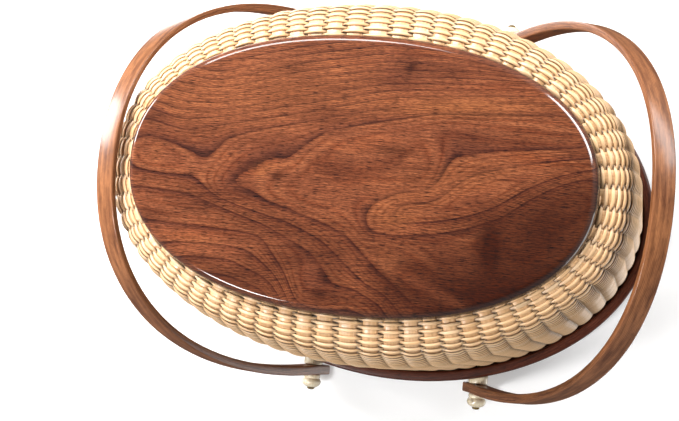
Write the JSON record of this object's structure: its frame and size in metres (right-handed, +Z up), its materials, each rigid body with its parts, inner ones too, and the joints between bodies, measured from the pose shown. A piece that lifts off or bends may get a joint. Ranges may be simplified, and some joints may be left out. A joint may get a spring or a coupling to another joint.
{
  "type": "nantucket basket",
  "caption": "Tall oval cane basket on a walnut base board, with a walnut rim and slim bentwood swing handles on bone knobs, for carrying and storing things.",
  "frame": {"origin": "centre of the base board's underside", "axes": "+X along the oval, +Y across it and along both handle axes, +Z up out of the basket's mouth"},
  "size_m": [0.3045, 0.247, 0.2047],
  "materials": {
    "walnut_base": "flat-sawn walnut, rubbed satin lacquer",
    "walnut_rim": "steam-bent dark walnut, satin lacquer",
    "walnut_handle": "steam-bent walnut, straight grain, satin lacquer",
    "cane_weave": "natural peeled cane, smooth glossy skin, lightly lacquered",
    "bone": "turned and polished bone",
    "brass_pin": "peened and dulled brass"
  },
  "bodies": {
    "basket": {"base_plate": "walnut_base", "woven_wall": "cane_weave", "rim_outer_hoop": "walnut_rim", "rim_inner_hoop": "walnut_rim", "rim_cap": "walnut_rim", "spacer_left_front": "bone", "knob_left_front": "bone", "inner_washer_left_front": "bone", "pivot_pin_left_front": "brass_pin", "spacer_left_back": "bone", "knob_left_back": "bone", "inner_washer_left_back": "bone", "pivot_pin_left_back": "brass_pin", "spacer_right_front": "bone", "knob_right_front": "bone", "inner_washer_right_front": "bone", "pivot_pin_right_front": "brass_pin", "spacer_right_back": "bone", "knob_right_back": "bone", "inner_washer_right_back": "bone", "pivot_pin_right_back": "brass_pin"},
    "handle_left": {"handle_left": "walnut_handle"},
    "handle_right": {"handle_right": "walnut_handle"}
  },
  "joints": [
    {"name": "handle_left_swing", "type": "hinge", "parent": "basket", "child": "handle_left", "pos_m": [-0.0536, 0, 0.192], "axis": [0, 1, 0], "range_deg": [-1.5, 169]},
    {"name": "handle_right_swing", "type": "hinge", "parent": "basket", "child": "handle_right", "pos_m": [0.0536, 0, 0.192], "axis": [0, -1, 0], "range_deg": [-6.5, 163]}
  ]
}
